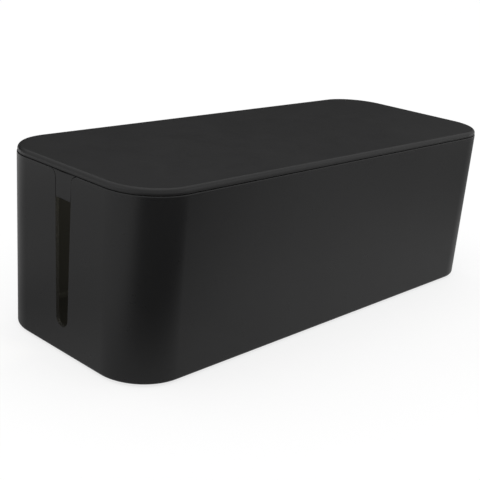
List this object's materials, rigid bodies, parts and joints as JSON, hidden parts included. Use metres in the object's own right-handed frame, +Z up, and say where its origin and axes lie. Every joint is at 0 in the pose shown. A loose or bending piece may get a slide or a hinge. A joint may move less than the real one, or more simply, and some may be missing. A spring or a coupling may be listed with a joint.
{
  "type": "cable management box",
  "caption": "Long rounded plastic box with a lift-off lid and a tall cable slot in each end, for hiding a power strip and its cables.",
  "frame": {"origin": "middle of the footprint, on the surface that the feet stand on", "axes": "+X along the length from end slot to end slot, +Y across the width, +Z up; the lid lifts off along +Z"},
  "size_m": [0.407, 0.162, 0.137],
  "materials": {
    "tub_plastic": "fine matte moulded texture, charcoal black",
    "lid_plastic": "fine matte moulded texture, charcoal black",
    "foot_rubber": "matt black rubber"
  },
  "bodies": {
    "tub": {"tub": "tub_plastic", "foot_front_left": "foot_rubber", "foot_front_right": "foot_rubber", "foot_back_left": "foot_rubber", "foot_back_right": "foot_rubber"},
    "lid": {"lid": "lid_plastic"}
  },
  "joints": [
    {"name": "lid_lift", "type": "slide", "parent": "tub", "child": "lid", "axis": [0, 0, 1], "range_m": [0, 0.06]}
  ]
}
